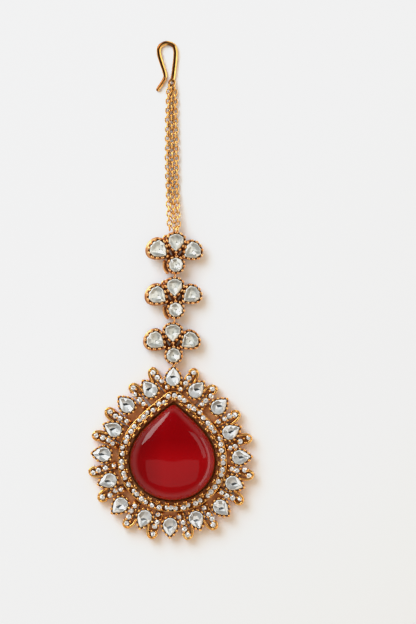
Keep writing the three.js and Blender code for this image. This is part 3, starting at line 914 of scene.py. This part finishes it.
# Stones: colours of clear and flawed places, scale of the flaws per metre, share of foil that
# shows, and how far the back slopes against the face
STONES = {
    "clear_polki": {
        "light": (0.98, 0.97, 0.94), "dark": (0.88, 0.87, 0.84), "scale": 900,
        "metallic": 0.12, "depth": 1.5, "rough": 0.18,
    },
    # Painted reflection: window facets coloured dark, as the room seen mirrored through a stone
    "clear_window_painted_reflection": {
        "light": (0.3, 0.31, 0.32), "dark": (0.12, 0.12, 0.13), "scale": 1500,
        "metallic": 0.9, "depth": 0.5, "rough": 0.1,
    },
    "clear_edge": {
        "light": (0.98, 0.98, 0.96), "dark": (0.93, 0.93, 0.9), "scale": 900,
        "metallic": 0.0, "depth": -0.35, "rough": 0.3,
    },
    "cloudy_polki": {
        "light": (0.96, 0.94, 0.84), "dark": (0.66, 0.63, 0.53), "scale": 1500,
        "metallic": 0.12, "depth": 1.6, "rough": 0.2,
    },
    # Painted reflection: window facets coloured dark, as the room seen mirrored through a stone
    "cloudy_window_painted_reflection": {
        "light": (0.5, 0.5, 0.46), "dark": (0.2, 0.2, 0.18), "scale": 1500,
        "metallic": 0.6, "depth": 0.5, "rough": 0.15,
    },
    "cloudy_edge": {
        "light": (0.95, 0.94, 0.86), "dark": (0.85, 0.83, 0.74), "scale": 900,
        "metallic": 0.0, "depth": -0.35, "rough": 0.3,
    },
    "pave_stone": {
        "light": (0.86, 0.85, 0.82), "dark": (0.55, 0.53, 0.5), "scale": 1800,
        "metallic": 0.3, "depth": -0.8, "rough": 0.1,
    },
    # Painted reflection: a pavé stone's table coloured dark, as the room seen mirrored through it
    "pave_table_painted_reflection": {
        "light": (0.5, 0.5, 0.52), "dark": (0.25, 0.25, 0.26), "scale": 1800,
        "metallic": 0.85, "depth": 0.6, "rough": 0.1,
    },
}


def new_material(name):
    material = bpy.data.materials.new(name)
    material.use_nodes = True
    tree = material.node_tree
    return material, tree, tree.nodes["Principled BSDF"]


def add_node(tree, kind, **settings):
    node = tree.nodes.new(kind)
    for key, value in settings.items():
        setattr(node, key, value)
    return node


def ramp(tree, source, stops):
    node = add_node(tree, "ShaderNodeValToRGB")
    elements = node.color_ramp.elements
    while len(elements) < len(stops):
        elements.new(0.5)
    for element, (position, colour) in zip(elements, stops):
        element.position = position
        element.color = (*colour, 1)
    tree.links.new(source, node.inputs["Fac"])
    return node.outputs["Color"]


def noise(tree, scale, detail=3.0, rough=0.5):
    where = add_node(tree, "ShaderNodeTexCoord")
    node = add_node(tree, "ShaderNodeTexNoise")
    node.inputs["Scale"].default_value = scale
    node.inputs["Detail"].default_value = detail
    node.inputs["Roughness"].default_value = rough
    tree.links.new(where.outputs["Object"], node.inputs["Vector"])
    return node.outputs["Fac"]


def metal_material(name, bright, warm, dark, roughness, metallic, reach):
    """Plated metal in two tones that vary at random, with painted shade: dark brown wherever other
    metal lies near.
    """
    material, tree, shader = new_material(name)
    shader.inputs["Metallic"].default_value = metallic
    shader.inputs["Specular IOR Level"].default_value = 0.2
    # Painted shade: ambient occlusion blends the dark colour in where other metal lies within reach
    painted_shade_occlusion = add_node(tree, "ShaderNodeAmbientOcclusion", samples=6)
    painted_shade_occlusion.inputs["Distance"].default_value = reach * MM
    tint = ramp(tree, noise(tree, GRAIN["tint"]), [(0.35, warm), (0.65, bright)])
    depth = ramp(tree, painted_shade_occlusion.outputs["AO"], [(0.15, (0, 0, 0)), (0.65, (1, 1, 1))])
    mix = add_node(tree, "ShaderNodeMix", data_type="RGBA")
    mix.inputs["A"].default_value = (*dark, 1)
    tree.links.new(depth, mix.inputs["Factor"])
    tree.links.new(tint, mix.inputs["B"])
    tree.links.new(mix.outputs["Result"], shader.inputs["Base Color"])
    rough = add_node(tree, "ShaderNodeMapRange")
    rough.inputs["To Min"].default_value = roughness * 0.75
    rough.inputs["To Max"].default_value = roughness * 1.35
    tree.links.new(noise(tree, GRAIN["gloss"]), rough.inputs["Value"])
    tree.links.new(rough.outputs["Result"], shader.inputs["Roughness"])
    bump = add_node(tree, "ShaderNodeBump")
    bump.inputs["Strength"].default_value = 0.12
    bump.inputs["Distance"].default_value = 0.05 * MM
    tree.links.new(noise(tree, GRAIN["dents"], 4), bump.inputs["Height"])
    tree.links.new(bump.outputs["Normal"], shader.inputs["Normal"])
    return material


def scaled(tree, plain, value, low, high, stops):
    """A colour multiplied by a ramp that runs over a range of values."""
    share = add_node(tree, "ShaderNodeMapRange")
    share.inputs["From Min"].default_value = low
    share.inputs["From Max"].default_value = high
    tree.links.new(value, share.inputs["Value"])
    both = add_node(tree, "ShaderNodeMix", data_type="RGBA", blend_type="MULTIPLY")
    both.inputs["Factor"].default_value = 1
    tree.links.new(plain, both.inputs["A"])
    tree.links.new(ramp(tree, share.outputs["Result"], stops), both.inputs["B"])
    return both.outputs["Result"]


def shade_left_side(material):
    """Painted shade on the side of the hook's wire that faces left."""
    tree = material.node_tree
    shader = tree.nodes["Principled BSDF"]
    plain = shader.inputs["Base Color"].links[0].from_socket
    face = add_node(tree, "ShaderNodeNewGeometry")
    parts = add_node(tree, "ShaderNodeSeparateXYZ")
    tree.links.new(face.outputs["True Normal"], parts.inputs["Vector"])
    worn = scaled(tree, plain, parts.outputs["X"], -1, 1, [
        (0.08, (1, 1, 1)), (0.16, (0.2, 0.12, 0.1)), (0.46, (0.25, 0.16, 0.12)), (0.56, (1, 1, 1)),
    ])
    tree.links.new(worn, shader.inputs["Base Color"])


def stone_material(name, light, dark, scale, metallic, depth, rough):
    """Foil-backed stone. Its back slopes the other way from its face, and glints through it."""
    material, tree, shader = new_material(name)
    stops = [(0.3, dark), (0.5, light), (1.0, light)]
    tree.links.new(ramp(tree, noise(tree, scale, 5), stops), shader.inputs["Base Color"])
    face = add_node(tree, "ShaderNodeNewGeometry")
    back = add_node(tree, "ShaderNodeVectorMath", operation="MULTIPLY")
    back.inputs[1].default_value = (-depth, -depth, 1)
    even = add_node(tree, "ShaderNodeVectorMath", operation="NORMALIZE")
    tree.links.new(face.outputs["True Normal"], back.inputs[0])
    tree.links.new(back.outputs["Vector"], even.inputs[0])
    tree.links.new(even.outputs["Vector"], shader.inputs["Normal"])
    shader.inputs["Metallic"].default_value = metallic
    shader.inputs["Roughness"].default_value = rough
    shader.inputs["IOR"].default_value = 1.7
    shader.inputs["Coat Weight"].default_value = 0.8
    shader.inputs["Coat Roughness"].default_value = 0.03
    shader.inputs["Coat IOR"].default_value = 1.6
    return material


def metals(*names):
    return [metal_material(name, **METALS[name]) for name in names]


def stones(*names):
    return [stone_material(name, **STONES[name]) for name in names]


def red_material():
    """Deep red glass with a painted glow that lightens its lower part and painted shade that darkens
    its left side.
    """
    material, tree, shader = new_material("red_glass")
    where = add_node(tree, "ShaderNodeTexCoord")
    parts = add_node(tree, "ShaderNodeSeparateXYZ")
    tree.links.new(where.outputs["Object"], parts.inputs["Vector"])
    lengthwise = add_node(tree, "ShaderNodeMapRange")
    low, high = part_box("cabochon")
    lengthwise.inputs["From Min"].default_value = low[1]
    lengthwise.inputs["From Max"].default_value = high[1]
    tree.links.new(parts.outputs["Y"], lengthwise.inputs["Value"])
    # Painted glow: the body colour is lighter in the lower part of the dome
    body = ramp(tree, lengthwise.outputs["Result"], [
        (0.1, (0.34, 0.002, 0.004)), (0.42, (0.37, 0.002, 0.004)),
        (0.62, (0.26, 0.0004, 0.002)), (1.0, (0.24, 0.0004, 0.002)),
    ])
    # Painted shade: the colour is darkened towards the left side
    shaded = scaled(tree, body, parts.outputs["X"], low[0], high[0], [
        (0.0, (0.5, 0.5, 0.5)), (0.15, (0.6, 0.6, 0.6)), (0.4, (1, 1, 1)), (1.0, (1, 1, 1)),
    ])
    tree.links.new(shaded, shader.inputs["Base Color"])
    shader.inputs["Roughness"].default_value = 0.05
    shader.inputs["IOR"].default_value = 1.3
    shader.inputs["Subsurface Weight"].default_value = 0.25
    shader.inputs["Subsurface Radius"].default_value = (2.5 * MM, 0.4 * MM, 0.3 * MM)
    shader.inputs["Subsurface Scale"].default_value = 1.0
    return material


PIXELS_PER_MM = 4.307
PHOTO = (416, 624)
PHOTO_MIDDLE = (8.54, -5.34)
CAMERA_HEIGHT = 900 * MM
LIGHT_REACH = 0.6
LIT_POINT = (0, -0.03, 0)

# Rectangular lights: where they stand, in degrees anticlockwise from +X and from straight up, their
# width and height in degrees, and whether they show in mirroring surfaces alone or light all others
LIGHTS = [
    {
        "name": "key", "azimuth": 134, "zenith": 66, "spread": (42, 20), "radiance": 9.0,
        "mirrored": True, "roll": 48,
    },
    {
        "name": "main", "azimuth": 130, "zenith": 46, "spread": (38, 38), "radiance": 5.9,
        "mirrored": False, "colour": (0.56, 0.78, 1.0),
    },
    {
        "name": "fill", "azimuth": 150, "zenith": 8, "spread": (100, 100), "radiance": 0.62,
        "mirrored": False, "colour": (1.0, 0.77, 0.5),
    },
    {
        "name": "ceiling", "azimuth": -90, "zenith": 22, "spread": (60, 34), "radiance": 0.65,
        "mirrored": True,
    },
    {
        "name": "side", "azimuth": -8, "zenith": 74, "spread": (80, 16), "radiance": 3.0,
        "mirrored": True,
    },
    {
        "name": "right", "azimuth": 20, "zenith": 48, "spread": (30, 16), "radiance": 2.2,
        "mirrored": True,
    },
]


def make_camera():
    """Straight down, with the jewel where the photograph has it."""
    data = bpy.data.cameras.new("camera")
    tall = PHOTO[1] / PIXELS_PER_MM * MM
    data.sensor_width = 36
    data.lens = 36 * CAMERA_HEIGHT / tall
    data.clip_end = 5
    camera = bpy.data.objects.new("camera", data)
    x, y = np.array(PHOTO_MIDDLE) + SHIFT[:2, 3]
    camera.location = (x * MM, y * MM, CAMERA_HEIGHT)
    bpy.context.scene.collection.objects.link(camera)
    bpy.context.scene.camera = camera


def toward(azimuth, zenith):
    """The direction at an angle from straight up, turned anticlockwise from +X."""
    a, z = math.radians(azimuth), math.radians(zenith)
    return Vector((math.sin(z) * math.cos(a), math.sin(z) * math.sin(a), math.cos(z)))


def softbox(name, azimuth, zenith, spread, radiance, mirrored, colour=(1, 1, 1), roll=0):
    """A rectangular light facing the jewel, turned about its own middle by roll."""
    way = toward(azimuth, zenith)
    data = bpy.data.lights.new(name, "AREA")
    data.shape = "RECTANGLE"
    data.size, data.size_y = (2 * LIGHT_REACH * math.tan(math.radians(s / 2)) for s in spread)
    data.energy = radiance * math.pi * data.size * data.size_y
    data.color = colour
    light = bpy.data.objects.new(name, data)
    light.location = Vector(LIT_POINT) + way * LIGHT_REACH
    turned = Quaternion((0, 0, 1), math.radians(roll))
    light.rotation_euler = ((-way).to_track_quat("-Z", "Y") @ turned).to_euler()
    light.visible_camera = False
    light.visible_diffuse = not mirrored
    light.visible_glossy = mirrored
    bpy.context.scene.collection.objects.link(light)
    return light


def make_sky():
    """A dim room: darkest straight above, paler towards the horizon."""
    world = bpy.data.worlds.new("studio")
    bpy.context.scene.world = world
    world.use_nodes = True
    tree = world.node_tree
    where = add_node(tree, "ShaderNodeTexCoord")
    parts = add_node(tree, "ShaderNodeSeparateXYZ")
    tree.links.new(where.outputs["Generated"], parts.inputs["Vector"])
    colour = ramp(tree, parts.outputs["Z"], [
        (0.0, (1.5, 1.4, 1.28)), (0.3, (1.1, 1.0, 0.9)), (0.55, (0.16, 0.14, 0.12)),
        (1.0, (0.06, 0.06, 0.06)),
    ])
    tree.links.new(colour, tree.nodes["Background"].inputs["Color"])


def soften_whites():
    """A print's tone curve: the paper's white stays below full white, and shadows near it fade."""
    view = bpy.context.scene.view_settings
    view.view_transform = "Standard"
    view.use_curve_mapping = True
    mapping = view.curve_mapping
    mapping.clip_max_x = 3
    curve = mapping.curves[3]
    curve.points[-1].location = (3, 1)
    for place in [(0.78, 0.78), (0.88, 0.855), (0.97, 0.878), (1.3, 0.9)]:
        curve.points.new(*place)
    for point in curve.points:
        point.handle_type = "VECTOR"
    mapping.update()


def make_studio():
    size = 3.0
    mesh = bpy.data.meshes.new("floor")
    corners = [(-size, -size, 0), (size, -size, 0), (size, size, 0), (-size, size, 0)]
    mesh.from_pydata(corners, [], [(0, 1, 2, 3)])
    floor = bpy.data.objects.new("floor", mesh)
    bpy.context.scene.collection.objects.link(floor)
    material, tree, shader = new_material("pale_paper")
    shader.inputs["Base Color"].default_value = (0.95, 0.95, 0.95, 1)
    shader.inputs["Roughness"].default_value = 0.9
    shader.inputs["Specular IOR Level"].default_value = 0.1
    mesh.materials.append(material)
    make_sky()
    for light in LIGHTS:
        softbox(**light)
    soften_whites()


make_camera()
gold = metals("antique_gold", "gold_painted_shade", "gold_side")
copper = metals("reddish_gold", "reddish_painted_shade", "reddish_side")
chain_gold, hook_gold = metals("chain_gold", "hook_gold")
# Painted shade on the hook's left-facing side
shade_left_side(hook_gold)
clear = stones("clear_polki", "clear_window_painted_reflection", "clear_edge")
cloudy = stones("cloudy_polki", "cloudy_window_painted_reflection", "cloudy_edge")
pave = stones("pave_stone", "pave_table_painted_reflection")
red = red_material()
make_pendant(gold, pave, clear, red)
for flower in FLOWERS:
    make_flower(flower, copper, cloudy)
make_jump_rings(copper)
make_chain(chain_gold)
make_hook(hook_gold)
make_studio()
